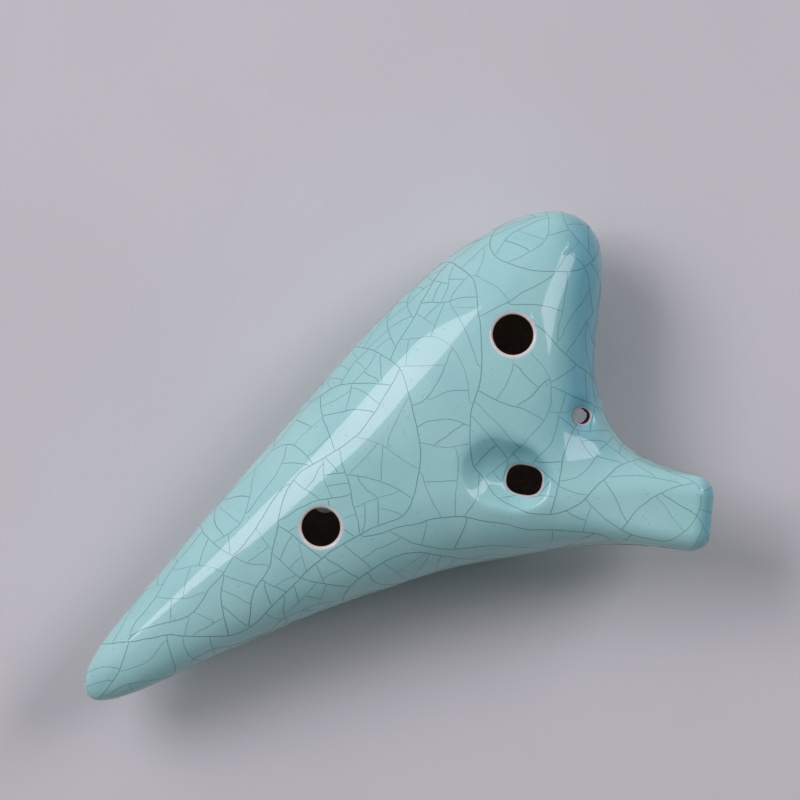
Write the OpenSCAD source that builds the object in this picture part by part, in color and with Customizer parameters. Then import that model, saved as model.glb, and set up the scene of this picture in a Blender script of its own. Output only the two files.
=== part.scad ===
// A transverse ocarina with twelve tone holes, made of pressed clay pieces luted with slip.
// It lies on its front, the finger-hole side, with the thumb-hole side up.
// X runs from the tail to the head and the mouthpiece points to -Y.

/* [Body] */
// Length from the tip of the tail to the end of the head
body_length = 181; // [150:1:210]
// Greatest height of the back half above the seam
back_height = 22; // [20:0.5:26]
// Greatest depth of the front half below the seam
front_depth = 24; // [22:0.5:28]
// Thickness of the clay wall
wall = 5; // [4:0.5:6]
// Length of solid clay at the tip of the tail
tail_solid = 16; // [12:1:24]
// Roundness of the back half's section: 2 is an ellipse, higher is squarer
back_fullness = 2.2; // [2:0.1:3]
// Roundness of the front half's section, which is flatter to lie still
front_fullness = 2.5; // [2:0.1:3]

/* [Mouthpiece] */
// Width of the mouthpiece at its tip
beak_width = 19.2; // [17:0.2:24]
// Depth of the mouthpiece at its tip
beak_depth = 17; // [14:0.5:19]
// Height of the middle of the mouthpiece above the seam
beak_mid = 10.5; // [8:0.5:11]
// Direction in which the mouthpiece points, from +X
beak_angle = -47; // [-55:1:-40]
// How softly the mouthpiece flows into the body
beak_blend = 32; // [24:1:38]
// Radius of the mouthpiece's long edges and of its rim
beak_edge = 5; // [3:0.5:6]
// Distance from the tip to the luted joint at the neck
beak_length = 31; // [28:1:34]

/* [Windway and window] */
// Width of the windway
windway_width = 8; // [6:0.5:10]
// Height of the windway
windway_height = 1.6; // [1.2:0.1:2.2]
// Height of the windway's ceiling above the seam, at the window
ceiling_at_window = 17.4; // [16.5:0.1:18]
// Height of the windway's ceiling above the seam, at the tip
ceiling_at_tip = 15.2; // [14:0.1:16]
// Length of the window, along the windway
window_length = 10; // [8:0.2:11]
// Width of the window
window_width = 8.4; // [7:0.2:9]
// Radius of the dish round the window
dish_radius = 11; // [9:0.5:13]
// How far in front of the labium the dish's straight run starts
dish_lead = 3; // [0:0.5:4]
// Length of the dish's straight run
dish_run = 5; // [3:0.5:8]
// Rise of the dish over that run
dish_rise = 1; // [0.5:0.1:3]
// Radius of the flatter balls that soften the dish's rim
dish_rim = 25; // [20:1:30]

/* [Holes] */
// Diameter of the thumb hole at the head
head_thumb_bore = 11.3; // [9:0.1:12]
// Diameter of the thumb hole at the tail
tail_thumb_bore = 10.8; // [8:0.1:11]
// Diameter of the hole for a cord
cord_bore = 4.8; // [3:0.1:5]
// Radius of the bowl pressed round the hole for a cord
cord_bowl = 5; // [4:0.5:6]
// Radius of the flatter ball that softens the bowl's rim
cord_rim = 9; // [8:0.5:11]
// Diameter of the two small sub-holes
sub_bore = 3.2; // [2.4:0.2:4]

/* [Joints] */
// Thickness of the layer of slip between two pieces of clay
slip = 0.6; // [0.4:0.1:1]

/* [Smoothness] */
// Number of sections along the body
sections = 56; // [32:4:64]
// Number of facets round each half of a section
facets = 24; // [14:2:26]

/* [Hidden] */

clay = [0.86, 0.82, 0.76];
slip_clay = [0.74, 0.68, 0.60];
pale_clay = [0.92, 0.89, 0.84];

// Where the seam lies above the ground, and how far the line that the widths are measured from
// is moved to bring the middle of the outline to the origin.
seam_height = 1.0146 * front_depth;
middle_y = -0.55;

half_length = body_length / 2;
standard_length = 181;
standard_back = 22;
standard_front = 24;

// Stations along the body of standard length: the distance from the middle of the length, the
// near edge and the far edge of the outline, the height of the back and the depth of the front.
stations = [
  [-90.5, 28.6, 28.6,  0.0,  0.0],
  [-81.5, 21.5, 35.3,  6.5,  6.5],
  [-59.5, 14.4, 39.1, 11.5, 12.0],
  [-29.5,  4.0, 43.1, 16.5, 17.5],
  [  0.5, -8.5, 46.9, 20.0, 22.0],
  [ 25.5,-16.0, 50.0, 22.0, 24.0],
  [ 50.5,-11.4, 50.9, 22.0, 24.0],
  [ 70.5,  7.9, 48.3, 18.5, 20.5],
  [ 84.5, 20.8, 42.5, 12.0, 13.0],
  [ 90.5, 32.2, 32.2,  0.0,  0.0]];
stretch = body_length / standard_length;
// A section's place along the body is an angle, 0 at the tail and 180 at the head, so that
// both ends close as round noses.
station_angles = [for (s = stations) acos(-s[0] / (standard_length / 2))];
half_widths = [for (s = stations) (s[2] - s[1]) / 2];
centres = [for (s = stations) (s[2] + s[1]) / 2];
backs = [for (s = stations) s[3] * back_height / standard_back];
fronts = [for (s = stations) s[4] * front_depth / standard_front];

// The middle of the mouthpiece's tip, and its axis and the direction across it.
tip = [63.2 * stretch, -45.4];
axis = [cos(beak_angle), sin(beak_angle)];
across = [-axis[1], axis[0]];
// The mouthpiece's core narrows with the square of the distance from its tip.
beak_narrowing = 0.003;

// Middles of the holes, in the frame of the stations.
window = [33 * stretch, -5.8];
head_thumb = [56.1 * stretch, 24.4];
tail_thumb = [-14.7 * stretch, 20.6];
cord_hole = [55.5 * stretch, -3.6];
cord_bowl_place = [57 * stretch, -4.6, 18.2];
cord_rim_place = [60 * stretch, -6.2, 22.2];
dish_rim_depth = 2.3;
finger_holes = [ // place along the body, place across it, diameter
  [-47, 25.0, 5.0], [-29, 25.5, 7.0], [-10, 25.0, 7.8], [9, 23.0, 8.4],
  [30, 31.0, 8.6], [46, 34.0, 8.2], [61, 32.0, 7.2], [70.5, 23.5, 5.6]];
sub_holes = [[-19.5, 33.0], [38, 22.5]];

// The windway runs straight from the tip to the window.
windway_line = tip - window;
windway_run = norm(windway_line);
windway_angle = atan2(windway_line[1], windway_line[0]);
windway_tilt = atan((ceiling_at_window - ceiling_at_tip) / windway_run);
labium_height = ceiling_at_window - windway_height / 2;
ramp_length = 8;
ramp_width = 12;
ramp_root = 6;
labium_thickness = 0.7;

reach_steps = 13;
far = 70;
stub = 3;
fine = 96;
overlap = 1;
dish_balls = 2;

// ---------------------------------------------------------------- curves

function limit(v, low, high) = min(max(v, low), high);
function knot(t, ts, i = 0) = i >= len(ts) - 2 || t < ts[i + 1] ? i : knot(t, ts, i + 1);
function slope(i, ts, vs) =
  let (a = max(i - 1, 0), b = min(i + 1, len(ts) - 1))
  (vs[b] - vs[a]) / (ts[b] - ts[a]);

// A smooth curve through the values vs at the places ts.
function curve(t, ts, vs) =
  let (i = knot(t, ts), h = ts[i + 1] - ts[i], u = (t - ts[i]) / h)
  (2 * u^3 - 3 * u^2 + 1) * vs[i] + (u^3 - 2 * u^2 + u) * h * slope(i, ts, vs)
  + (3 * u^2 - 2 * u^3) * vs[i + 1] + (u^3 - u^2) * h * slope(i + 1, ts, vs);

function angle_at(x) = acos(limit(-x / half_length, -1, 1));

// Half width, centre, height of the back and depth of the front at x, then how fast the
// half width and the centre change with x.
function section_at(x) =
  let (t = angle_at(x), step = 0.05, t2 = angle_at(x + step),
       w = curve(t, station_angles, half_widths), c = curve(t, station_angles, centres))
  [w, c, curve(t, station_angles, backs), curve(t, station_angles, fronts),
   (curve(t2, station_angles, half_widths) - w) / step,
   (curve(t2, station_angles, centres) - c) / step];

// ---------------------------------------------------------------- the outer form
// Each form is a function that is negative inside and about a distance outside.

function body_form(p, s) =
  let (high = p[2] > 0 ? s[2] : s[3],
       n = p[2] > 0 ? back_fullness : front_fullness,
       q = pow(abs(p[2]) / (high + 0.001), n),
       part = q < 1 ? pow(1 - q, 1 / n) : -pow(q - 1, 1 / n),
       lean = limit(-sign(p[1] - s[1]) * s[5] - s[4], -6, 6))
  (abs(p[1] - s[1]) - s[0] * part) / sqrt(1 + lean^2) + max(abs(p[0]) - half_length, 0);

function beak_form(p) =
  let (d = [p[0] - tip[0], p[1] - tip[1]],
       out = d * axis,
       half = beak_width / 2 - beak_narrowing * max(-out, 0)^2,
       a = abs(d * across) - half + beak_edge,
       b = out + beak_edge,
       c = abs(p[2] - beak_mid) - beak_depth / 2 + beak_edge)
  norm([max(a, 0), max(b, 0), max(c, 0)]) + min(max(a, b, c), 0) - beak_edge;

function blend(a, b, k) = let (h = max(k - abs(a - b), 0) / k) min(a, b) - h^2 * k / 4;

function form(p, s) =
  blend(body_form(p, is_undef(s) ? section_at(p[0]) : s), beak_form(p), beak_blend);

// How far along direction d from point o the form's surface lies, by halving.
function reach(o, d, s, low = 0, high = far, n = reach_steps) =
  n == 0 ? (low + high) / 2
  : let (m = (low + high) / 2)
    form(o + m * d, s) > 0 ? reach(o, d, s, low, m, n - 1) : reach(o, d, s, m, high, n - 1);

// Distance along the mouthpiece's axis, zero at its tip and negative towards the body.
function along_beak(p) = [p[0] - tip[0], p[1] - tip[1]] * axis;

// The same for a body that stops just beyond the neck joint.
function body_reach(o, d, s) =
  let (r = reach(o, d, s), e = along_beak(o + r * d), e0 = along_beak(o),
       limit_e = stub - beak_length)
  e > limit_e ? r * (limit_e - e0) / (e - e0) : r;

// ---------------------------------------------------------------- grids of points

// Direction of ray j in a half section. Rays 0 and facets run along the chord, first and last
// tell how far the section reaches there, and high how far it reaches between them.
function ray(j, right, up, first, last, high) =
  let (a = 180 * j / facets, v = (a < 90 ? first : last) * cos(a) * right + high * sin(a) * up)
  v / norm(v);

// One outer half section of the body, from the far edge over to the near edge.
function outer_half(i, side, z0) =
  let (x = -half_length * cos(180 * i / sections), s = section_at(x), o = [x, s[1], z0],
       near = body_reach(o, [0, -1, 0], s), high = side > 0 ? s[2] : s[3])
  [for (j = [0:facets])
    i == 0 || i == sections ? o
    : let (d = ray(j, [0, 1, 0], [0, 0, side], s[0], near, high))
      o + body_reach(o, d, s) * d];

// One half section of the chamber, which has the body's form less the wall.
function inner_half(i, side, z0) =
  let (a = 180 * i / sections,
       x0 = tail_solid - half_length, x1 = half_length - wall - 1,
       x = (x0 + x1) / 2 - (x1 - x0) / 2 * cos(a), s = section_at(x),
       close = sqrt(1 - pow(abs(cos(a)), 8)),
       w = (s[0] - wall) * close, h = ((side > 0 ? s[2] : s[3]) - wall) * close,
       n = side > 0 ? back_fullness : front_fullness)
  [for (j = [0:facets])
    let (b = 180 * j / facets,
         y = sign(cos(b)) * w * pow(abs(cos(b)), 2 / n),
         z = side * h * pow(abs(sin(b)), 2 / n))
    i == 0 || i == sections ? [x, s[1], z0] : [x, s[1] + y, z + z0]];

function flat_list(rows) = [for (row = rows) for (p = row) p];
function triangles(a, b, c, d) =
  concat(a == b || b == c || c == a ? [] : [[a, b, c]],
         a == c || c == d || d == a ? [] : [[a, c, d]]);
function reversed(list) = [for (k = [1:len(list)]) list[len(list) - k]];

// ---------------------------------------------------------------- placing

module place() {
  translate([0, middle_y, seam_height]) children();
}

// Local X across the mouthpiece, local Y up, local Z out along its axis, from its tip.
module beak_frame() {
  translate([tip[0], tip[1], 0]) rotate([0, 0, beak_angle]) rotate([90, 0, 90]) children();
}

// Local X from the window to the tip, local Z up from the windway's ceiling.
module windway_frame() {
  translate([window[0], window[1], ceiling_at_window])
    rotate([0, 0, windway_angle]) rotate([0, windway_tilt, 0]) children();
}

// Local X from the labium towards the tip, local Z up from the seam.
module labium_frame() {
  translate([window[0], window[1], 0]) rotate([0, 0, windway_angle])
    translate([-window_length / 2, 0, 0]) children();
}

// ---------------------------------------------------------------- cutters

module hole(at, bore, side) {
  translate([at[0], at[1], side > 0 ? 0 : -far]) cylinder(d = bore, h = far, $fn = fine);
}

// Everything beyond the neck joint.
module beyond_neck(extra = 0) {
  beak_frame() translate([-far, -far, extra - beak_length]) cube([2 * far, 2 * far, far]);
}

module windway() {
  windway_frame() translate([0, -windway_width / 2, -windway_height])
    cube([windway_run + 10, windway_width, windway_height]);
}

// The window starts a little behind the labium, in the pocket that holds the ramp.
module window_cut() {
  labium_frame() translate([-overlap, -window_width / 2, 0])
    cube([window_length + overlap, window_width, far]);
}

// A ball whose poles lie level, so that none of them meets a cut face.
module ball(r) {
  rotate([90, 0, 30]) sphere(r = r, $fn = fine);
}

// Balls in a row leave a long shallow hollow that rises away from the labium, and flatter
// balls over them take its rim down.
module dish() {
  labium_frame() for (part = [0:1 / dish_balls:1]) {
    translate([dish_lead - dish_run * part, 0, dish_rise * part + labium_height + dish_radius])
      ball(dish_radius);
    translate([dish_lead - dish_run * part, 0, back_height - dish_rim_depth + dish_rim])
      ball(dish_rim);
  }
}

// The lump of clay under the dish, before the dish is cut from it.
module ramp_lump() {
  labium_frame() rotate([90, 0, 180]) translate([0, 0, -ramp_width / 2])
    linear_extrude(height = ramp_width)
      polygon([[0, labium_height - labium_thickness],
               [ramp_length, labium_height - ramp_root],
               [ramp_length, back_height + 2],
               [0, back_height + 2]]);
}

// ---------------------------------------------------------------- clay forms

// Half of the hollow body: side 1 is above the seam and -1 is below it.
module half_body(side) {
  z0 = side * slip / 2;
  outer = flat_list([for (i = [0:sections]) outer_half(i, side, z0)]);
  inner = flat_list([for (i = [0:sections]) inner_half(i, side, z0)]);
  row = facets + 1;
  function at(i, j, first) = first + i * row + (i == 0 || i == sections ? 0 : j);
  in0 = len(outer);
  faces = concat(
    [for (i = [0:sections - 1]) for (j = [0:facets - 1]) for (f = triangles(
      at(i, j, 0), at(i + 1, j, 0), at(i + 1, j + 1, 0), at(i, j + 1, 0))) f],
    [for (i = [0:sections - 1]) for (j = [0:facets - 1]) for (f = triangles(
      at(i, j + 1, in0), at(i + 1, j + 1, in0), at(i + 1, j, in0), at(i, j, in0))) f],
    [for (i = [0:sections - 1]) for (f = triangles(
      at(i, 0, in0), at(i + 1, 0, in0), at(i + 1, 0, 0), at(i, 0, 0))) f],
    [for (i = [0:sections - 1]) for (f = triangles(
      at(i, facets, 0), at(i + 1, facets, 0), at(i + 1, facets, in0), at(i, facets, in0))) f]);
  polyhedron(concat(outer, inner), side > 0 ? faces : [for (f = faces) reversed(f)]);
}

// A section of the mouthpiece at a distance along its axis, closed by a chord at height z0.
function beak_half(out, side, z0) =
  let (o = [tip[0] + out * axis[0], tip[1] + out * axis[1], z0],
       right = [across[0], across[1], 0], up = [0, 0, side],
       first = reach(o, right), last = reach(o, -right), high = reach(o, up))
  [for (j = [0:facets])
    let (d = ray(j, right, up, first, last, high)) o + reach(o, d) * d];

function ceiling(out) =
  ceiling_at_tip - out * (ceiling_at_window - ceiling_at_tip) / windway_run;

// Places of the mouthpiece's sections: close together where its rim is round.
rim_steps = 6;
neck_steps = 9;
beak_places = concat(
  [for (i = [0:neck_steps]) slip - beak_length
    + (beak_length - slip - beak_edge) * i / neck_steps],
  [for (i = [1:rim_steps]) -beak_edge + (beak_edge - 0.02) * sin(90 * i / rim_steps)]);

// The mouthpiece above or below the windway's ceiling.
module half_beak(side, gap) {
  rows = [for (out = beak_places) beak_half(out, side, ceiling(out) + gap)];
  last = len(beak_places) - 1;
  row = facets + 1;
  faces = concat(
    [for (i = [0:last - 1]) for (j = [0:facets]) for (f = triangles(
      i * row + j, i * row + (j + 1) % row,
      (i + 1) * row + (j + 1) % row, (i + 1) * row + j)) f],
    [[for (j = [0:facets]) facets - j]],
    [[for (j = [0:facets]) last * row + j]]);
  polyhedron(flat_list(rows), side > 0 ? faces : [for (f = faces) reversed(f)]);
}

// ---------------------------------------------------------------- sub-parts

module back_shell() {
  color(clay) place() difference() {
    half_body(1);
    beyond_neck();
    hole(head_thumb, head_thumb_bore, 1);
    hole(tail_thumb, tail_thumb_bore, 1);
    hole(cord_hole, cord_bore, 1);
    translate(cord_bowl_place) ball(cord_bowl);
    translate(cord_rim_place) ball(cord_rim);
    window_cut();
    windway();
    dish();
    ramp_lump();
  }
}

module front_shell() {
  color(clay) place() difference() {
    half_body(-1);
    beyond_neck();
    for (h = finger_holes) hole([h[0] * stretch, h[1]], h[2], -1);
    for (h = sub_holes) hole([h[0] * stretch, h[1]], sub_bore, -1);
    hole(cord_hole, cord_bore, -1);
  }
}

module seam_slip() {
  outer = [for (i = [0:sections]) outer_half(i, 1, slip / 2)];
  inner = [for (i = [0:sections]) inner_half(i, 1, slip / 2)];
  function loop(rows) = concat(
    [for (i = [0:sections]) [rows[i][0][0], rows[i][0][1]]],
    [for (i = [1:sections - 1]) [rows[sections - i][facets][0], rows[sections - i][facets][1]]]);
  color(slip_clay) place() difference() {
    translate([0, 0, -slip / 2]) linear_extrude(height = slip) difference() {
      polygon(loop(outer));
      polygon(loop(inner));
    }
    beyond_neck();
    translate([0, 0, -slip]) hole(cord_hole, cord_bore, 1);
  }
}

module labium_ramp() {
  color(pale_clay) place() difference() {
    ramp_lump();
    dish();
  }
}

module mouthpiece_block() {
  color(clay) place() difference() {
    half_beak(-1, -slip);
    windway();
    translate([0, 0, windway_height / 2]) windway();
  }
}

module windway_roof() {
  color(pale_clay) place() half_beak(1, 0);
}

// The layer between the block and the roof, in two strips, one each side of the windway.
module roof_slip() {
  rows = [for (out = beak_places)
    let (top = beak_half(out, 1, ceiling(out)), low = beak_half(out, -1, ceiling(out) - slip))
    [top[0], top[facets], low[facets], low[0]]];
  last = len(beak_places) - 1;
  faces = concat(
    [for (i = [0:last - 1]) for (j = [0:3]) for (f = triangles(
      4 * i + j, 4 * i + (j + 1) % 4, 4 * i + 4 + (j + 1) % 4, 4 * i + 4 + j)) f],
    [[3, 2, 1, 0]],
    [[4 * last, 4 * last + 1, 4 * last + 2, 4 * last + 3]]);
  color(slip_clay) place() difference() {
    polyhedron(flat_list(rows), faces);
    windway();
    translate([0, 0, windway_height / 2]) windway();
  }
}

// The layer between the body and the mouthpiece, with the windway through it.
module neck_slip() {
  out = slip - beak_length;
  upper = beak_half(out, 1, ceiling(out));
  lower = beak_half(out, -1, ceiling(out) - slip);
  outline = [for (p = concat(upper, reversed(lower)))
    [[p[0] - tip[0], p[1] - tip[1]] * across, p[2]]];
  color(slip_clay) place() difference() {
    beak_frame() translate([0, 0, -beak_length]) linear_extrude(height = slip) polygon(outline);
    windway();
  }
}

back_shell();
front_shell();
seam_slip();
labium_ramp();
mouthpiece_block();
windway_roof();
roof_slip();
neck_slip();
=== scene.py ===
"""The looks of the ocarina: one coat of crackle glaze over the clay pieces, in a plain studio."""
import math

import bmesh
import bpy
import numpy as np
from mathutils import Matrix, Vector
from mathutils.bvhtree import BVHTree
from mathutils.kdtree import KDTree


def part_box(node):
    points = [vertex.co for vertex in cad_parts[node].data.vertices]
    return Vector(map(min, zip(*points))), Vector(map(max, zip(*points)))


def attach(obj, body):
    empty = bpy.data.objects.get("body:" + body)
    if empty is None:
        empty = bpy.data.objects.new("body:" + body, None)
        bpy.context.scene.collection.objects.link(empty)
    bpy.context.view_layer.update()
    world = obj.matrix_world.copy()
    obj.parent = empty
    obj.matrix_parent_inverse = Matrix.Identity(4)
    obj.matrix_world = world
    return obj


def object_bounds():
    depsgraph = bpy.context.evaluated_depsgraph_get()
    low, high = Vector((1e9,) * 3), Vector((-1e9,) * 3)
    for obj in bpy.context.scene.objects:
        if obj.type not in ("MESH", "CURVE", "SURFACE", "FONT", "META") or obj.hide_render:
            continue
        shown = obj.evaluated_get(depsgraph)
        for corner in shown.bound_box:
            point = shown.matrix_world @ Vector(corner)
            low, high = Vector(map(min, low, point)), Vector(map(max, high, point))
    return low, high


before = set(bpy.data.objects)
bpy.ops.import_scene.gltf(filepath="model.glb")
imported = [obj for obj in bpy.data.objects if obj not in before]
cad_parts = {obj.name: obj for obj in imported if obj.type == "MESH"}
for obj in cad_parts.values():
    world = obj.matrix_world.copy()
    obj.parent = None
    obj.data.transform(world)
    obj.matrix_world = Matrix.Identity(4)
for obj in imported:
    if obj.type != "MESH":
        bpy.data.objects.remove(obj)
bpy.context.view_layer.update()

MM = 0.001

# ---------------------------------------------------------------- the form, in millimetres
# The same form as the clay's, but thicker by a coat of glaze: X from the middle of the length,
# Y from the line that widths are measured from, Z from the seam. Each row is a station along
# the body: its place, the near and far edges, the height of the back and depth of the front.
STATIONS = np.array([
    [-90.5, 28.6, 28.6, 0.0, 0.0],
    [-81.5, 21.5, 35.3, 6.5, 6.5],
    [-59.5, 14.4, 39.1, 11.5, 12.0],
    [-29.5, 4.0, 43.1, 16.5, 17.5],
    [0.5, -8.5, 46.9, 20.0, 22.0],
    [25.5, -16.0, 50.0, 22.0, 24.0],
    [50.5, -11.4, 50.9, 22.0, 24.0],
    [70.5, 7.9, 48.3, 18.5, 20.5],
    [84.5, 20.8, 42.5, 12.0, 13.0],
    [90.5, 32.2, 32.2, 0.0, 0.0]])
HALF_LENGTH = 90.5
BACK_FULLNESS = 2.2
FRONT_FULLNESS = 2.5

TIP = np.array([63.2, -45.4])
BEAK_ANGLE = math.radians(-47)
BEAK_AXIS = np.array([math.cos(BEAK_ANGLE), math.sin(BEAK_ANGLE)])
BEAK_WIDTH, BEAK_DEPTH, BEAK_MID, BEAK_EDGE, BEAK_BLEND = 19.2, 17.0, 10.5, 5.0, 34.0
BEAK_NARROWING = 0.003
CREASE_EASE, CREASE_FROM_TIP = 4, (45, 60)
MIDDLE_Y = -0.55

WINDOW = np.array([33.0, -5.8])
WINDOW_LENGTH, WINDOW_WIDTH, WINDOW_FULLNESS = 10.0, 8.4, 2.5
WINDWAY_WIDTH, WINDWAY_HEIGHT = 8.0, 1.6
CEILING_AT_WINDOW, CEILING_AT_TIP = 17.4, 15.2
LABIUM_HEIGHT = CEILING_AT_WINDOW - WINDWAY_HEIGHT / 2
DISH_RADIUS, DISH_LEAD, DISH_RUN, DISH_RISE = 11.0, 3.0, 5.0, 1.0
DISH_RIM, DISH_RIM_HEIGHT = 25.0, 44.7
CORD_HOLE, CORD_BORE = (55.5, -3.6), 4.8
CORD_BOWL_PLACE, CORD_BOWL = np.array([57.0, -4.6, 18.2]), 5.0
CORD_RIM_PLACE, CORD_RIM = np.array([60.0, -6.2, 22.2]), 9.0
THUMB_HOLES = [(56.1, 24.4, 11.3), (-14.7, 20.6, 10.8)]
FINGER_HOLES = [
    (-47, 25.0, 5.0), (-29, 25.5, 7.0), (-10, 25.0, 7.8), (9, 23.0, 8.4),
    (30, 31.0, 8.6), (46, 34.0, 8.2), (61, 32.0, 7.2), (70.5, 23.5, 5.6),
    (-19.5, 33.0, 3.2), (38, 22.5, 3.2)]

# The glaze: how thick it is, how far it runs into the holes and how it rounds their rims.
COAT = 0.4
HOLE_COAT = 0.35
SLOT_COAT = 0.15
INTO_HOLES = 3.2
CUT_BELOW = 4.0
RIM_BLEND = 1.45
CLOSE_RIM_BLEND = 1.2
MOUTH_RIM_BLEND = 0.5
DISH_BLEND = 1.6
CUTTER_BLEND = 1.3
BELOW_LABIUM, FLOOR_RISE = 1.2, 2.2

# Where the form's own origin lies in the frame: on the seam, in the middle of the outline.
seam_low, seam_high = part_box("seam_slip")
SHIFT = np.array([0.0, MIDDLE_Y, (seam_low[2] + seam_high[2]) / 2 / MM])


def slopes(places, values):
    """Slope of a smooth curve at each of its places."""
    inner = (values[2:] - values[:-2]) / (places[2:] - places[:-2])
    first = (values[1] - values[0]) / (places[1] - places[0])
    last = (values[-1] - values[-2]) / (places[-1] - places[-2])
    return np.concatenate([[first], inner, [last]])


def curve(t, places, values):
    """A smooth curve through the values."""
    m = slopes(places, values)
    i = np.clip(np.searchsorted(places, t, side="right") - 1, 0, len(places) - 2)
    h = places[i + 1] - places[i]
    u = (t - places[i]) / h
    return ((2 * u**3 - 3 * u**2 + 1) * values[i] + (u**3 - 2 * u**2 + u) * h * m[i]
            + (3 * u**2 - 2 * u**3) * values[i + 1] + (u**3 - u**2) * h * m[i + 1])


REACH = HALF_LENGTH + COAT
MOST_LEAN = 6
ANGLES = np.arccos(-STATIONS[:, 0] / HALF_LENGTH)
HALF_WIDTHS = (STATIONS[:, 2] - STATIONS[:, 1]) / 2
CENTRES = (STATIONS[:, 2] + STATIONS[:, 1]) / 2


def angle_at(x):
    """The stations are spaced by this angle, so that the ends come out round."""
    return np.arccos(np.clip(-x / REACH, -1, 1))


def coated(size):
    """A width or a height with the coat added, which is nothing where the size is."""
    return size + COAT * size / (np.abs(size) + 1)


def soft_step(x, low, high):
    """From 0 at low to 1 at high, with a smooth start and end."""
    t = np.clip((x - low) / (high - low), 0, 1)
    return t * t * (3 - 2 * t)


def body_form(p):
    """Negative inside the coated body, about a distance outside it."""
    x, y, z = p[:, 0], p[:, 1], p[:, 2]
    step = 0.05
    t, t2 = angle_at(x), angle_at(x + step)
    width, centre = coated(curve(t, ANGLES, HALF_WIDTHS)), curve(t, ANGLES, CENTRES)
    width_slope = (coated(curve(t2, ANGLES, HALF_WIDTHS)) - width) / step
    centre_slope = (curve(t2, ANGLES, CENTRES) - centre) / step
    up = z > 0
    high = np.where(up, curve(t, ANGLES, STATIONS[:, 3]), curve(t, ANGLES, STATIONS[:, 4]))
    n = np.where(up, BACK_FULLNESS, FRONT_FULLNESS)
    q = (np.abs(z) / (coated(high) + 0.001)) ** n
    part = np.where(q < 1, 1, -1) * np.abs(1 - q) ** (1 / n)
    lean = np.clip(-np.sign(y - centre) * centre_slope - width_slope, -MOST_LEAN, MOST_LEAN)
    beyond = np.maximum(np.abs(x) - REACH, 0)
    return (np.abs(y - centre) - width * part) / np.sqrt(1 + lean**2) + beyond


def beak_form(p):
    """The mouthpiece's coated core, a box with round edges that narrows towards the body.

    Where it has narrowed to nothing, the clay's form has a crease that the glaze runs smooth.
    """
    d = p[:, :2] - TIP
    out = d @ BEAK_AXIS
    side = d @ np.array([-BEAK_AXIS[1], BEAK_AXIS[0]])
    half = BEAK_WIDTH / 2 - BEAK_NARROWING * np.maximum(-out, 0) ** 2
    crease = CREASE_EASE * soft_step(-out, *CREASE_FROM_TIP)
    a = np.sqrt(side * side + crease) - half + BEAK_EDGE
    b = out + BEAK_EDGE
    c = np.abs(p[:, 2] - BEAK_MID) - BEAK_DEPTH / 2 + BEAK_EDGE
    outside = np.sqrt(np.maximum(a, 0)**2 + np.maximum(b, 0)**2 + np.maximum(c, 0)**2)
    return outside + np.minimum(np.maximum(np.maximum(a, b), c), 0) - BEAK_EDGE - COAT


def blend(a, b, k):
    """The union of two forms, with a fillet."""
    h = np.maximum(k - np.abs(a - b), 0) / k
    return np.minimum(a, b) - h * h * k / 4


def carve(a, b, k):
    """Form a with form b cut from it, and the rim rounded."""
    return -blend(-a, b, k)


def form(p):
    return blend(body_form(p), beak_form(p), BEAK_BLEND)


# ---------------------------------------------------------------- what is cut into the form

windway_line = TIP - WINDOW
windway_run = np.linalg.norm(windway_line)
WINDWAY_AXIS = windway_line / windway_run
WINDWAY_SIDE = np.array([-WINDWAY_AXIS[1], WINDWAY_AXIS[0]])


def in_labium_frame(p):
    """Distance from the labium towards the tip, distance across, and height."""
    d = p[:, :2] - WINDOW
    return d @ WINDWAY_AXIS + WINDOW_LENGTH / 2, d @ WINDWAY_SIDE, p[:, 2]


def capsule(p, radius, first, last):
    """A ball swept from one place to another, behind the labium, less the coat."""
    u, v, z = in_labium_frame(p)
    du, dz = last[0] - first[0], last[1] - first[1]
    t = np.clip(((u - first[0]) * du + (z - first[1]) * dz) / (du * du + dz * dz), 0, 1)
    return np.sqrt((u - first[0] - t * du)**2 + v**2 + (z - first[1] - t * dz)**2) - radius + COAT


def dish_form(p):
    """A round-ended hollow that rises away from the labium, and a flatter one for its rim."""
    low = LABIUM_HEIGHT + DISH_RADIUS
    first, last = DISH_LEAD, DISH_LEAD - DISH_RUN
    deep = capsule(p, DISH_RADIUS, (first, low), (last, low + DISH_RISE))
    flat = capsule(p, DISH_RIM, (first, DISH_RIM_HEIGHT), (last, DISH_RIM_HEIGHT))
    return blend(deep, flat, CUTTER_BLEND)


def bowl_form(p):
    """The bowl round the hole for a cord, and a flatter one for its rim."""
    deep = np.linalg.norm(p - CORD_BOWL_PLACE, axis=1) - CORD_BOWL + COAT
    flat = np.linalg.norm(p - CORD_RIM_PLACE, axis=1) - CORD_RIM + COAT
    return blend(deep, flat, CUTTER_BLEND)


def surface_height(x, y, side):
    """Height at which a vertical line leaves the form, found by halving."""
    low, high = 0.0, 40.0
    for _ in range(30):
        mid = (low + high) / 2
        if form(np.array([[x, y, side * mid]]))[0] > 0:
            high = mid
        else:
            low = mid
    return low


class Hole:
    """A hole that the glaze lines down to a floor. It is cut deeper, and then left open."""
    beside_wall = 0.4

    def __init__(self, side, floor, outline, rim):
        self.side, self.floor, self.wall, self.rim = side, floor, outline, rim

    def depth(self, p):
        """Positive below the floor."""
        return self.floor(p) - self.side * p[:, 2]

    def form(self, p):
        return np.maximum(self.wall(p), self.depth(p) - CUT_BELOW)

    def lined(self, p):
        """True near the hole's wall, on its own side of the body."""
        return (self.wall(p) < self.beside_wall) & (self.depth(p) < CUT_BELOW + 1)

    def trimmed(self, p):
        """Points brought up to the floor."""
        return np.column_stack([p[:, :2], self.side * self.floor(p)])


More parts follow.
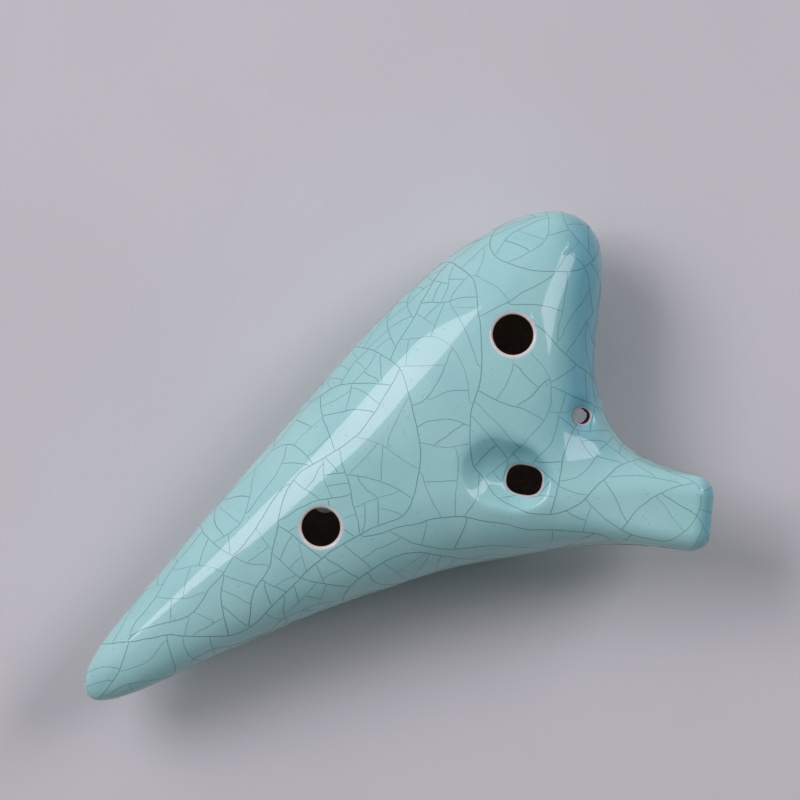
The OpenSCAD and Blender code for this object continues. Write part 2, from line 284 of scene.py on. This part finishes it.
def round_hole(x, y, bore, side, into=INTO_HOLES, rim=RIM_BLEND):
    radius = bore / 2 - HOLE_COAT
    floor = surface_height(x, y, side) - into
    return Hole(side, lambda p: np.full(len(p), floor),
                lambda p: np.hypot(p[:, 0] - x, p[:, 1] - y) - radius, rim)


def window_hole():
    """The window, whose corners are round with glaze and whose floor follows the windway."""
    length, width = WINDOW_LENGTH / 2 - HOLE_COAT, WINDOW_WIDTH / 2 - HOLE_COAT

    def outline(p):
        u, v, _ = in_labium_frame(p)
        along = (np.abs(u - WINDOW_LENGTH / 2) / length) ** WINDOW_FULLNESS
        across = (np.abs(v) / width) ** WINDOW_FULLNESS
        return ((along + across) ** (1 / WINDOW_FULLNESS) - 1) * width

    def floor(p):
        u = in_labium_frame(p)[0]
        return LABIUM_HEIGHT - BELOW_LABIUM + FLOOR_RISE * np.clip(u / WINDOW_LENGTH, 0, 1)
    return Hole(1, floor, outline, CLOSE_RIM_BLEND)


class WindwayMouth:
    """The mouth of the windway: a flat slot that the glaze runs into a little."""
    rim, into, beside_wall = MOUTH_RIM_BLEND, 3.0, 0.3

    def wall(self, p):
        v = (p[:, :2] - TIP) @ WINDWAY_SIDE
        w = p[:, 2] - (CEILING_AT_TIP - WINDWAY_HEIGHT / 2)
        a = np.abs(v) - WINDWAY_WIDTH / 2 + SLOT_COAT
        b = np.abs(w) - WINDWAY_HEIGHT / 2 + SLOT_COAT
        return np.hypot(np.maximum(a, 0), np.maximum(b, 0)) + np.minimum(np.maximum(a, b), 0)

    def depth(self, p):
        return -self.into - (p[:, :2] - TIP) @ WINDWAY_AXIS

    def form(self, p):
        return np.maximum(self.wall(p), self.depth(p) - CUT_BELOW)

    def lined(self, p):
        return (self.wall(p) < self.beside_wall) & (self.depth(p) < CUT_BELOW + 1)

    def trimmed(self, p):
        moved = p.copy()
        moved[:, :2] += self.depth(p)[:, None] * WINDWAY_AXIS
        return moved


HOLES = (
    [round_hole(x, y, bore, 1) for x, y, bore in THUMB_HOLES]
    + [round_hole(*CORD_HOLE, CORD_BORE, 1, into=5.0, rim=CLOSE_RIM_BLEND),
       round_hole(*CORD_HOLE, CORD_BORE, -1, into=4.0, rim=CLOSE_RIM_BLEND), window_hole()]
    + [round_hole(x, y, bore, -1) for x, y, bore in FINGER_HOLES] + [WindwayMouth()])


def hollowed(p):
    """The coated form with its two pressed hollows, before any hole is cut."""
    return carve(carve(form(p), dish_form(p), DISH_BLEND), bowl_form(p), DISH_BLEND)


# How near the holes and the surface the form is evened, and the least slope it is divided by.
NEAR_HOLES, NEAR_SURFACE = 2.5, 10
LEAST_SLOPE = 0.7


def evened(p):
    """The hollowed form, made about as steep everywhere near the holes, for round rims."""
    shape = hollowed(p)
    near = np.full(len(p), False)
    for hole in HOLES:
        near |= np.abs(hole.wall(p)) < NEAR_HOLES
    near &= np.abs(shape) < NEAR_SURFACE
    slope = np.linalg.norm(gradient(hollowed, p[near], 0.1), axis=1)
    shape[near] /= np.maximum(slope, LEAST_SLOPE)
    return shape


def glaze_form(p):
    """Negative inside the outside of the glaze, with every hole cut and its rim rounded."""
    shape = evened(p)
    for hole in HOLES:
        shape = carve(shape, hole.form(p), hole.rim)
    return shape


# How near the surface is near enough, and where points move straight up or down to it.
SETTLED = 0.02
MIDDLE_STRIP, MIDDLE_END, MIDDLE_HEIGHT = 8, 80, 5
CLEAR_OF_HOLES = 2
HEART_END = 84


def gradient(f, p, e=0.02):
    """Slope of f at each point, from its values a little to both sides."""
    g = np.empty_like(p)
    for axis in range(3):
        d = np.zeros(3)
        d[axis] = e
        g[:, axis] = (f(p + d) - f(p - d)) / (2 * e)
    return g


def settle(f, p, rounds=4, most=0.5):
    """Moves points onto the surface where f is zero. Nearly all get there by its slope."""
    start = p
    for _ in range(rounds):
        g = gradient(f, p)
        step = f(p)[:, None] * g / np.maximum((g * g).sum(1), 1e-6)[:, None]
        size = np.linalg.norm(step, axis=1, keepdims=True)
        p = p - step * np.minimum(1, most / np.maximum(size, 1e-9))
    lost = np.abs(f(p)) > SETTLED
    p[lost] = settle_by_halving(f, start[lost])
    steep = on_the_middle(start)
    p[steep] = settle_upright(f, start[steep])
    return p


def on_the_middle(p):
    """True along the lines halfway across, where the form rises too steeply for settle()."""
    off = p[:, 1] - curve(angle_at(p[:, 0]), ANGLES, CENTRES)
    beside = np.full(len(p), True)
    for hole in HOLES:
        beside &= (hole.wall(p) > CLEAR_OF_HOLES) | (hole.depth(p) > CUT_BELOW)
    x, z = np.abs(p[:, 0]), np.abs(p[:, 2])
    return (np.abs(off) < MIDDLE_STRIP) & (x < MIDDLE_END) & (z > MIDDLE_HEIGHT) & beside


def settle_upright(f, p, most=1.0):
    """The same straight up and down, by halving."""
    side = np.sign(p[:, 2])
    low, high = np.abs(p[:, 2]) - most, np.abs(p[:, 2]) + most
    for _ in range(16):
        mid = (low + high) / 2
        outside = f(np.column_stack([p[:, :2], side * mid])) > 0
        low, high = np.where(outside, low, mid), np.where(outside, mid, high)
    return np.column_stack([p[:, :2], side * mid])


def settle_by_halving(f, p):
    """The same for points that the slope loses, along lines from the body's middle."""
    x = np.clip(p[:, 0], -HEART_END, HEART_END)
    heart = np.column_stack([x, curve(angle_at(x), ANGLES, CENTRES), np.zeros(len(p))])
    low, high = np.full(len(p), 0.5), np.full(len(p), 1.5)
    for _ in range(24):
        mid = (low + high) / 2
        outside = f(heart + mid[:, None] * (p - heart)) > 0
        low, high = np.where(outside, low, mid), np.where(outside, mid, high)
    return heart + mid[:, None] * (p - heart)


# ---------------------------------------------------------------- meshing

def grid_values(f, axes):
    """Values of f at every corner of a grid."""
    yy, zz = np.meshgrid(axes[1], axes[2], indexing="ij")
    slices = [f(np.column_stack([np.full(yy.size, x), yy.ravel(), zz.ravel()]))
              for x in axes[0]]
    return np.array(slices).reshape(len(axes[0]), *yy.shape)


def crossed_cells(values):
    """The cells that the surface crosses, and the mean place of its crossings in each."""
    inside = values < 0
    shape = np.array(values.shape) - 1
    corners = [(a, b, c) for a in (0, 1) for b in (0, 1) for c in (0, 1)]
    edges = [(p, q) for p in corners for q in corners
             if sum(q) - sum(p) == 1 and all(q[i] >= p[i] for i in range(3))]

    def part(a, k):
        return a[k[0]:k[0] + shape[0], k[1]:k[1] + shape[1], k[2]:k[2] + shape[2]]
    total, weight = np.zeros((*shape, 3)), np.zeros(shape)
    for p, q in edges:
        cross = part(inside, p) != part(inside, q)
        va, vb = part(values, p), part(values, q)
        t = np.where(cross, va / np.where(cross, va - vb, 1), 0)
        for i in range(3):
            total[..., i] += cross * (p[i] + t * (q[i] - p[i]))
        weight += cross
    active = weight > 0
    return np.argwhere(active), total[active] / weight[active][:, None]


def crossing_faces(inside, index, i):
    """A four-sided face round every grid edge along axis i that the surface crosses."""
    j, k = (i + 1) % 3, (i + 2) % 3
    here = [slice(1, -1)] * 3
    here[i] = slice(0, -1)
    ahead = list(here)
    ahead[i] = slice(1, None)
    where = np.argwhere(inside[tuple(here)] != inside[tuple(ahead)])
    where[:, j] += 1
    where[:, k] += 1
    ring = []
    for dj, dk in ((0, 0), (-1, 0), (-1, -1), (0, -1)):
        cell = where.copy()
        cell[:, j] += dj
        cell[:, k] += dk
        ring.append(index[tuple(cell.T)])
    quads = np.column_stack(ring)
    turned = ~inside[tuple(where.T)]
    quads[turned] = quads[turned][:, ::-1]
    return quads


def surface_net(f, low, high, cell):
    """Points and four-sided faces of the surface where f is zero, on an even grid."""
    counts = np.ceil((high - low) / cell).astype(int) + 1
    values = grid_values(f, [low[i] + cell * np.arange(counts[i]) for i in range(3)])
    cells, places = crossed_cells(values)
    index = np.full(counts - 1, -1)
    index[tuple(cells.T)] = np.arange(len(cells))
    faces = [crossing_faces(values < 0, index, i) for i in range(3)]
    return low + cell * (cells + places), np.concatenate(faces)


def make_mesh(name, points, faces, normals):
    mesh = bpy.data.meshes.new(name)
    mesh.from_pydata([tuple(p) for p in (points + SHIFT) * MM], [], [tuple(f) for f in faces])
    mesh.polygons.foreach_set("use_smooth", np.ones(len(mesh.polygons), dtype=bool))
    mesh.normals_split_custom_set_from_vertices([tuple(n) for n in normals])
    mesh.update()
    piece = bpy.data.objects.new(name, mesh)
    bpy.context.scene.collection.objects.link(piece)
    return piece


# ---------------------------------------------------------------- the glaze coat

COAT_CELL = 1.25
COAT_DEPTH = 0.3
SHARP_TURN = math.radians(17)
THIN_RIM = 1.0
FINE_RIM = 0.9


def unit(v):
    return v / np.maximum(np.linalg.norm(v, axis=1, keepdims=True), 1e-9)


def normals_at(p):
    normals = unit(gradient(glaze_form, p))
    steep = on_the_middle(p)
    normals[steep] = normals_from_heights(p[steep])
    return normals


def normals_from_heights(p, h=0.5):
    """The same from how the height changes, along the lines halfway across."""
    def height(dx, dy):
        return settle_upright(glaze_form, p + np.array([dx, dy, 0]))[:, 2]
    slope_x = (height(h, 0) - height(-h, 0)) / (2 * h)
    slope_y = (height(0, h) - height(0, -h)) / (2 * h)
    up = np.column_stack([-slope_x, -slope_y, np.ones(len(p))])
    return unit(up) * np.sign(p[:, 2:])


def below_a_floor(p):
    """True for what is cut below the end of a hole's lining."""
    below = np.zeros(len(p), dtype=bool)
    for hole in HOLES:
        below |= hole.lined(p) & (hole.depth(p) > 0)
    return below


def trim_linings(bm):
    """Opens every hole below its lining and makes the lining's edge even."""
    middles = np.array([face.calc_center_median()[:] for face in bm.faces])
    below = [face for face, is_below in zip(bm.faces, below_a_floor(middles)) if is_below]
    bmesh.ops.delete(bm, geom=below, context="FACES")
    rims = [v for v in bm.verts if v.is_boundary]
    points = np.array([v.co[:] for v in rims])
    for hole in HOLES:
        mine = hole.lined(points) & (np.abs(hole.depth(points)) < 2)
        points[mine] = hole.trimmed(points[mine])
    for vertex, place in zip(rims, points):
        vertex.co = place


def near_a_rim(p):
    """True where a hole's rim needs small faces."""
    near = np.zeros(len(p), dtype=bool)
    for hole in HOLES:
        near |= (np.abs(hole.wall(p)) < FINE_RIM) & (hole.depth(p) < 0.5)
    return near


def split_where_fine(bm):
    """Halves the edges of faces near rims and where the surface turns sharply."""
    bm.verts.ensure_lookup_table()
    points = np.array([v.co[:] for v in bm.verts])
    n, fine = normals_at(points), near_a_rim(points)
    turn = math.cos(SHARP_TURN)
    edges = {}
    for face in bm.faces:
        index = [v.index for v in face.verts]
        if any(fine[index]) or min(n[a] @ n[b] for a in index for b in index) < turn:
            edges.update(dict.fromkeys(face.edges))
    bmesh.ops.subdivide_edges(bm, edges=list(edges), cuts=1, use_grid_fill=True)
    odd = [face for face in bm.faces if len(face.verts) != 4]
    bmesh.ops.triangulate(bm, faces=odd)
    bm.verts.index_update()
    points = settle(glaze_form, np.array([v.co[:] for v in bm.verts]), 3)
    for vertex, place in zip(bm.verts, points):
        vertex.co = place


def glaze_surface():
    """The outside of the glaze: points, faces and the loose edges at the holes."""
    low = np.array([-93.0, -56.0, -27.0])
    high = np.array([93.0, 54.0, 25.0])
    points, faces = surface_net(glaze_form, low, high, COAT_CELL)
    points = settle(glaze_form, points)
    bm = bmesh.new()
    corners = [bm.verts.new(p) for p in points]
    bm.verts.index_update()
    for face in faces:
        bm.faces.new([corners[i] for i in face])
    for _ in range(2):
        split_where_fine(bm)
    trim_linings(bm)
    bm.verts.index_update()
    points = np.array([v.co[:] for v in bm.verts])
    faces = [[v.index for v in face.verts] for face in bm.faces]
    rims = [(e.verts[0].index, e.verts[1].index) for e in bm.edges if e.is_boundary]
    bm.free()
    return points, faces, rims


def closed_coat(points, faces, rims, normals):
    """The outside, an inside a little deeper, and strips that join them at the holes."""
    count = len(points)
    directed = set()
    for face in faces:
        directed.update(zip(face, face[1:] + face[:1]))
    inside = [[i + count for i in reversed(face)] for face in faces]
    strips = []
    for a, b in rims:
        if (a, b) not in directed:
            a, b = b, a
        strips.append([b, a, a + count, b + count])
    both = np.concatenate([points, points - COAT_DEPTH * normals])
    return both, faces + inside + strips, np.concatenate([normals, -normals])


def rim_gap(p):
    """Distance from the nearest hole, as a part of how far the glaze has drawn back there."""
    gap = np.full(len(p), 3.0)
    for hole in HOLES:
        wide = THIN_RIM if hole.rim == RIM_BLEND else THIN_RIM / 2
        beside = np.clip(hole.wall(p) / wide, 0, 3)
        gap = np.where(hole.depth(p) < CUT_BELOW + 1, np.minimum(gap, beside), gap)
    return gap


def pooled_glaze_and_painted_shade(p):
    """Towards 1 where the glaze is drawn deeper: where it lies thick round the cord hole and at
    the tip, and at one side of the head and in the dish, where it is partly thick glaze and
    partly painted shade.
    """
    x, y = p[:, 0], p[:, 1]
    in_bowl = 1 - soft_step(bowl_form(p), -0.8, 0.8)
    from_bowl = np.linalg.norm(p - CORD_BOWL_PLACE, axis=1)
    round_bowl = 0.45 * (1 - soft_step(from_bowl, 4, 20))
    at_tip = 0.7 * soft_step((p[:, :2] - TIP) @ BEAK_AXIS, -5, -0.5)
    # Partly painted shade: one side of the head darkens towards its edge, where less light falls,
    # as well as thick glaze.
    head_side_pool_and_shade = 0.9 * soft_step(x - y, 42, 60) * soft_step(y, -12, 0)
    # Partly painted shade: the dish darkens on one wall only, the wall turned away from the
    # lights, as well as pooled glaze.
    dish_pool_and_shade = 0.5 * (1 - soft_step(dish_form(p), -0.5, 1.5))
    dish_pool_and_shade *= soft_step(in_labium_frame(p)[1], -5, 4)
    return np.maximum.reduce([in_bowl, round_bowl, at_tip, head_side_pool_and_shade, dish_pool_and_shade])


def set_attribute(piece, name, values):
    attribute = piece.data.attributes.new(name, "FLOAT", "POINT")
    attribute.data.foreach_set("value", np.asarray(values, dtype=np.float32))


def make_glaze_coat(surface):
    points, faces, rims = surface
    normals = normals_at(points)
    both, shell, shell_normals = closed_coat(points, faces, rims, normals)
    coat = make_mesh("glaze_coat", both, shell, shell_normals)
    set_attribute(coat, "rim_gap", np.tile(rim_gap(points), 2))
    # The pooling mask also carries painted shade at the head's side and in the dish.
    set_attribute(coat, "pooling_and_painted_shade", np.tile(pooled_glaze_and_painted_shade(points), 2))
    coat.data.materials.append(glaze_material())
    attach(coat, "root")


# ---------------------------------------------------------------- craze lines

CRAZE_STEP = 0.7
CRAZE_TURN_IN = 1.9
CRAZE_WIDTH = 0.18
CRAZE_PROUD = 0.035
CRAZE_CELL = (1.9, 4.3)
CRAZE_FROM_RIM, CRAZE_STOP = 1.2, 0.8
FIRST_BEND, BEND_KEPT, BEND_CHANGE, WOBBLE = 0.02, 0.95, 0.009, 0.065
PULL = 0.55
OFF_THE_SKIN = 0.3
LONG_CRACK, SHORT_CRACK = 400, 60


class Crazing:
    """Cracks that grow over the glaze one by one until no patch between them is wide."""

    def __init__(self, points, faces, seed):
        self.rng = np.random.default_rng(seed)
        self.skin = BVHTree.FromPolygons([Vector(p) for p in points], faces)
        places = points[::4]
        places = places[rim_gap(places) > CRAZE_FROM_RIM]
        self.places = places + self.rng.normal(0, 0.3, places.shape)
        self.gaps = np.full(len(places), 60.0)
        self.wanted = self.patch_size(places)
        self.cracks = []
        self.strengths = []
        self.known = KDTree(0)
        self.known.balance()

    def patch_size(self, p):
        """Half the width that a patch may keep, which drifts slowly over the surface."""
        waves = np.zeros(len(p))
        for length in (70, 45, 28):
            direction = unit(self.rng.normal(size=(1, 3)))[0]
            waves += np.sin(p @ direction * 2 * math.pi / length + self.rng.uniform(0, 6.28))
        low, high = CRAZE_CELL
        return low + (high - low) * soft_step(waves, -2, 2)

    def record(self, crack, strength):
        """Keeps a crack, and how far every place now is from the nearest one."""
        self.cracks.append(crack)
        self.strengths.append(strength)
        new = np.array(crack)
        for part in range(0, len(new), 40):
            d = self.places[:, None, :] - new[None, part:part + 40, :]
            self.gaps = np.minimum(self.gaps, np.sqrt((d * d).sum(2)).min(1))
        everything = [p for one in self.cracks for p in one]
        self.known = KDTree(len(everything))
        for index, p in enumerate(everything):
            self.known.insert(p, index)
        self.known.balance()

    def walk(self, start, heading, length):
        """The way of one end of a crack, until it meets another crack or a hole."""
        path, place, bend = [], Vector(start), self.rng.normal(0, FIRST_BEND)
        for _ in range(int(length / CRAZE_STEP)):
            normal = self.skin.find_nearest(place)[1]
            heading = (heading - normal * heading.dot(normal)).normalized()
            bend = BEND_KEPT * bend + self.rng.normal(0, BEND_CHANGE)
            turn = bend + self.rng.normal(0, WOBBLE)
            heading = Matrix.Rotation(turn, 3, normal) @ heading
            other, _, gap = self.known.find(place)
            if other is not None and gap < CRAZE_STEP:
                path.append(tuple(other))
                break
            if other is not None and gap < CRAZE_TURN_IN:
                heading = self.turned_in(heading, other - place, gap)
            place, _, _, off = self.skin.find_nearest(place + CRAZE_STEP * heading)
            if off > OFF_THE_SKIN or rim_gap(np.array([place]))[0] < CRAZE_STOP:
                break
            path.append(tuple(place))
        return path

    def turned_in(self, heading, way, gap):
        """A heading drawn towards an older crack, unless that lies behind."""
        towards = way.normalized()
        if towards.dot(heading) <= -0.1:
            return heading
        return heading.lerp(towards, PULL * (1 - gap / CRAZE_TURN_IN)).normalized()

    def crack_from(self, start, heading, length, strength):
        """Grows a crack both ways from a place, and keeps it if it gets anywhere."""
        there = self.walk(start, heading, length)
        back = self.walk(start, -heading, length)
        crack = back[::-1] + [tuple(start)] + there
        if len(crack) > 2:
            self.record(crack, strength)
        return len(crack) > 2

    def grow(self, first_cracks=9, most=2500):
        """Starts each crack where the widest patch is left. Only the first ones run far."""
        for number in range(most):
            need = self.gaps / self.wanted
            worst = int(np.argmax(need))
            if number >= first_cracks and need[worst] < 1:
                break
            start = self.skin.find_nearest(Vector(self.places[worst]))[0]
            other, _, _ = self.known.find(start)
            if number < first_cracks or other is None:
                heading = Vector(self.rng.normal(size=3)).normalized()
                done = self.crack_from(start, heading, LONG_CRACK, 1.0)
            else:
                normal = self.skin.find_nearest(start)[1]
                heading = (other - start).normalized()
                turn = Matrix.Rotation(self.rng.normal(0, 0.35), 3, normal)
                strength = self.rng.uniform(0.25, 1.0)
                done = self.crack_from(start, turn @ heading, SHORT_CRACK, strength)
            if not done:
                self.gaps[worst] = 0


def ribbon(points, normals, widths):
    """A thin closed strip along a crack: its corners, and faces that number them from 0."""
    ahead = np.gradient(points, axis=0)
    side = unit(np.cross(normals, ahead)) * widths[:, None] / 2
    top, base = normals * CRAZE_PROUD, normals * -CRAZE_PROUD
    corners = np.stack([points - side + top, points + side + top,
                        points + side + base, points - side + base], axis=1).reshape(-1, 3)
    last = 4 * (len(points) - 1)
    faces = [[i + j, i + (j + 1) % 4, i + 4 + (j + 1) % 4, i + 4 + j][::-1]
             for i in range(0, last, 4) for j in range(4)]
    return corners, faces + [[0, 1, 2, 3], [last + 3, last + 2, last + 1, last]]


def widths_along(count, strength):
    """The widths of a crack at its points, less at both ends."""
    from_end = np.minimum(np.arange(count), np.arange(count)[::-1])
    return CRAZE_WIDTH * (0.7 + 0.3 * strength) * np.clip(from_end + 2, 0, 4) / 4


def make_craze_lines(surface):
    crazing = Crazing(surface[0], surface[1], seed=12)
    crazing.grow()
    corners, faces, normals, strengths = [], [], [], []
    count = 0
    all_ups = normals_at(np.concatenate(crazing.cracks))
    ends = np.cumsum([len(crack) for crack in crazing.cracks])
    for crack, end, strength in zip(crazing.cracks, ends, crazing.strengths):
        points = np.array(crack)
        ups = all_ups[end - len(crack):end]
        some, sides = ribbon(points, ups, widths_along(len(points), strength))
        corners.append(some)
        normals.append(np.repeat(ups, 4, axis=0))
        faces += [[i + count for i in face] for face in sides]
        strengths.append(np.full(len(some), strength))
        count += len(some)
    print("craze lines:", len(crazing.cracks), "with", count // 4, "points")
    lines = make_mesh("craze_lines", np.concatenate(corners), faces, np.concatenate(normals))
    set_attribute(lines, "strength", np.concatenate(strengths))
    # The pooling mask also carries painted shade at the head's side and in the dish.
    set_attribute(lines, "pooling_and_painted_shade", pooled_glaze_and_painted_shade(np.concatenate(corners)))
    lines.data.materials.append(craze_material())
    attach(lines, "root")


# ---------------------------------------------------------------- materials

class Nodes:
    """Short names for making the nodes of one material."""

    def __init__(self, name):
        self.material = bpy.data.materials.new(name)
        self.material.use_nodes = True
        self.tree = self.material.node_tree
        self.surface = self.tree.nodes["Principled BSDF"]

    def add(self, kind, settings=None, **values):
        node = self.tree.nodes.new("ShaderNode" + kind)
        for key, value in (settings or {}).items():
            setattr(node, key, value)
        for key, value in values.items():
            self.put(node.inputs[key.replace("_", " ")], value)
        return node

    def put(self, socket, value):
        if isinstance(value, bpy.types.NodeSocket):
            self.tree.links.new(value, socket)
        else:
            socket.default_value = value

    def place(self):
        return self.add("TexCoord").outputs["Object"]

    def noise(self, scale, detail=3.0, rough=0.55):
        node = self.add("TexNoise", Vector=self.place(), Scale=scale, Detail=detail,
                        Roughness=rough)
        return node.outputs["Fac"]

    def range(self, value, low, high, out_low=0.0, out_high=1.0):
        node = self.add("MapRange", {"interpolation_type": "SMOOTHSTEP"}, Value=value,
                        From_Min=low, From_Max=high, To_Min=out_low, To_Max=out_high)
        return node.outputs["Result"]

    def mix(self, amount, first, second):
        node = self.add("Mix", {"data_type": "RGBA"})
        self.put(node.inputs[0], amount)
        self.put(node.inputs[6], first)
        self.put(node.inputs[7], second)
        return node.outputs[2]

    def attribute(self, name):
        return self.add("Attribute", {"attribute_name": name}).outputs["Fac"]

    def bump(self, height, strength, distance):
        node = self.add("Bump", Height=height, Strength=strength, Distance=distance)
        return node.outputs["Normal"]


GLAZE, GLAZE_CLOUDS = (0.375, 0.712, 0.670, 1), (0.420, 0.755, 0.705, 1)
# The pooled colours also serve as painted shade at the head's side and in the dish.
POOLED_GLAZE_AND_SHADE, SPECK = (0.125, 0.415, 0.485, 1), (0.33, 0.61, 0.59, 1)
BARE_RIM = (0.80, 0.74, 0.69, 1)
FAINT_STAIN, DARK_STAIN = (0.270, 0.510, 0.510, 1), (0.125, 0.270, 0.275, 1)
POOLED_STAIN_AND_SHADE = (0.055, 0.190, 0.220, 1)
FIRED_CLAY = (0.62, 0.54, 0.44, 1), (0.50, 0.42, 0.33, 1)
SLIP_CLAY = (0.55, 0.47, 0.38, 1), (0.43, 0.35, 0.27, 1)


def glassy(m, coat_roughness):
    """The smooth clear layer that gives a material the gloss of glass."""
    m.put(m.surface.inputs["Specular IOR Level"], 0.1)
    m.put(m.surface.inputs["Coat Weight"], 0.6)
    m.put(m.surface.inputs["Coat Roughness"], coat_roughness)
    m.put(m.surface.inputs["Coat IOR"], 1.5)


def glaze_material():
    """Clouded glaze that is deeper where it has pooled and where shade is painted at the head's
    side and in the dish, and bare clay at the rims.
    """
    m = Nodes("crackle_glaze")
    cloud = m.range(m.noise(38.0), 0.35, 0.65)
    colour = m.mix(cloud, GLAZE, GLAZE_CLOUDS)
    speck = m.range(m.noise(900.0, 1.0), 0.68, 0.78)
    colour = m.mix(speck, colour, SPECK)
    # Deeper colour where glaze pools, and painted shade at the head's side and in the dish.
    colour = m.mix(m.attribute("pooling_and_painted_shade"), colour, POOLED_GLAZE_AND_SHADE)
    ragged = m.add("Math", {"operation": "MULTIPLY_ADD"})
    m.put(ragged.inputs[0], m.noise(700.0, 2.0))
    ragged.inputs[1].default_value = 0.5
    m.put(ragged.inputs[2], m.attribute("rim_gap"))
    thin = m.range(ragged.outputs[0], 0.85, 1.25, 1.0, 0.0)
    colour = m.mix(thin, colour, BARE_RIM)
    m.put(m.surface.inputs["Base Color"], colour)
    m.put(m.surface.inputs["Roughness"], m.range(m.noise(120.0), 0.3, 0.7, 0.16, 0.26))
    m.put(m.surface.inputs["Normal"], m.bump(m.noise(55.0, 2.5), 0.22, 0.0004))
    glassy(m, 0.035)
    return m.material


def craze_material():
    """The stain in the cracks, fainter in some than in others."""
    m = Nodes("craze_stain")
    fade = m.range(m.noise(45.0), 0.3, 0.7, 0.55, 1.0)
    amount = m.add("Math", {"operation": "MULTIPLY"})
    m.put(amount.inputs[0], fade)
    m.put(amount.inputs[1], m.attribute("strength"))
    colour = m.mix(amount.outputs[0], FAINT_STAIN, DARK_STAIN)
    # Darker stain where glaze pools, and painted shade at the head's side and in the dish.
    colour = m.mix(m.attribute("pooling_and_painted_shade"), colour, POOLED_STAIN_AND_SHADE)
    m.put(m.surface.inputs["Base Color"], colour)
    m.put(m.surface.inputs["Roughness"], m.range(m.noise(300.0), 0.3, 0.7, 0.25, 0.4))
    glassy(m, 0.05)
    return m.material


def clay_material(name, light, dark, grain):
    """Dull fired clay, with darker grains."""
    m = Nodes(name)
    colour = m.mix(m.range(m.noise(60.0), 0.3, 0.7), dark, light)
    colour = m.mix(m.range(m.noise(grain, 4.0), 0.60, 0.72), colour, dark)
    m.put(m.surface.inputs["Base Color"], colour)
    m.put(m.surface.inputs["Roughness"], m.range(m.noise(grain), 0.3, 0.7, 0.75, 0.92))
    m.put(m.surface.inputs["Normal"], m.bump(m.noise(grain, 5.0), 0.5, 0.0003))
    return m.material


def clothe_clay():
    """The clay shows only inside the holes, past the end of the glaze."""
    biscuit = clay_material("fired_clay", *FIRED_CLAY, 700.0)
    slip = clay_material("slip_clay", *SLIP_CLAY, 900.0)
    for name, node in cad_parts.items():
        node.data.materials.clear()
        node.data.materials.append(slip if name.endswith("slip") else biscuit)


# ---------------------------------------------------------------- the studio

OBJECT_MIDDLE = Vector((0.02285, 0.0309, 0.024))
CAMERA_TURN = math.radians(-42)
CAMERA_DISTANCE = 1.2
FRAME_WIDTH = 0.212
LIGHT_DISTANCE = 2.5
LIGHT_COLOUR = (0.96, 0.89, 1.0)
FLOOR_REACH = 4.0
IMAGE_RIGHT = Vector((math.cos(CAMERA_TURN), math.sin(CAMERA_TURN), 0))
IMAGE_UP = Vector((-math.sin(CAMERA_TURN), math.cos(CAMERA_TURN), 0))


def make_camera():
    """Straight down on the thumb-hole side."""
    data = bpy.data.cameras.new("camera")
    data.lens = data.sensor_width * CAMERA_DISTANCE / FRAME_WIDTH
    camera = bpy.data.objects.new("camera", data)
    camera.location = OBJECT_MIDDLE + Vector((0, 0, CAMERA_DISTANCE))
    camera.rotation_euler = (0, 0, CAMERA_TURN)
    bpy.context.scene.collection.objects.link(camera)
    bpy.context.scene.camera = camera


def from_camera(right, up, towards):
    """A direction given as the camera sees it."""
    return (right * IMAGE_RIGHT + up * IMAGE_UP + towards * Vector((0, 0, 1))).normalized()


def softbox(name, direction, along, size, power):
    """An area light that faces the object, with its first side along a direction."""
    data = bpy.data.lights.new(name, "AREA")
    data.shape = "RECTANGLE"
    data.size, data.size_y = size
    data.energy = power
    data.color = LIGHT_COLOUR
    light = bpy.data.objects.new(name, data)
    light.location = OBJECT_MIDDLE + LIGHT_DISTANCE * direction
    side = (along - direction * along.dot(direction)).normalized()
    turned = Matrix((side, direction.cross(side), direction)).transposed()
    light.rotation_euler = turned.to_euler()
    bpy.context.scene.collection.objects.link(light)


def make_floor():
    """A plain floor that the glaze just touches."""
    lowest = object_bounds()[0][2]
    mesh = bpy.data.meshes.new("floor")
    r = FLOOR_REACH
    mesh.from_pydata([(-r, -r, 0), (r, -r, 0), (r, r, 0), (-r, r, 0)], [], [(0, 1, 2, 3)])
    floor = bpy.data.objects.new("floor", mesh)
    bpy.context.scene.collection.objects.link(floor)
    m = Nodes("studio_floor")
    m.put(m.surface.inputs["Base Color"],
          m.mix(m.range(m.noise(6.0), 0.3, 0.7), (0.66, 0.66, 0.65, 1), (0.70, 0.70, 0.69, 1)))
    m.put(m.surface.inputs["Roughness"], m.range(m.noise(90.0), 0.3, 0.7, 0.6, 0.7))
    mesh.materials.append(m.material)
    floor.location.z = lowest


def make_studio():
    world = bpy.data.worlds.new("studio")
    world.use_nodes = True
    background = world.node_tree.nodes["Background"]
    background.inputs["Color"].default_value = (0.80, 0.88, 1.0, 1)
    background.inputs["Strength"].default_value = 0.12
    bpy.context.scene.world = world
    softbox("left_softbox", from_camera(-0.565, 0.354, 0.748), from_camera(0.38, 0.89, -0.26),
            (1.30, 1.05), 25.5)
    softbox("left_fill", from_camera(-0.66, 0.53, 0.53), from_camera(0.25, 0.43, -0.07),
            (4.00, 3.20), 26.0)
    softbox("right_softbox", from_camera(0.66, 0.40, 0.64), from_camera(0.13, 0.40, -0.48),
            (1.60, 0.85), 21.6)
    bpy.context.scene.view_settings.view_transform = "Standard"


# ---------------------------------------------------------------- building

clothe_clay()
surface = glaze_surface()
print("glaze surface:", len(surface[0]), "points,", len(surface[1]), "faces")
make_glaze_coat(surface)
make_craze_lines(surface)
make_floor()
make_studio()
make_camera()
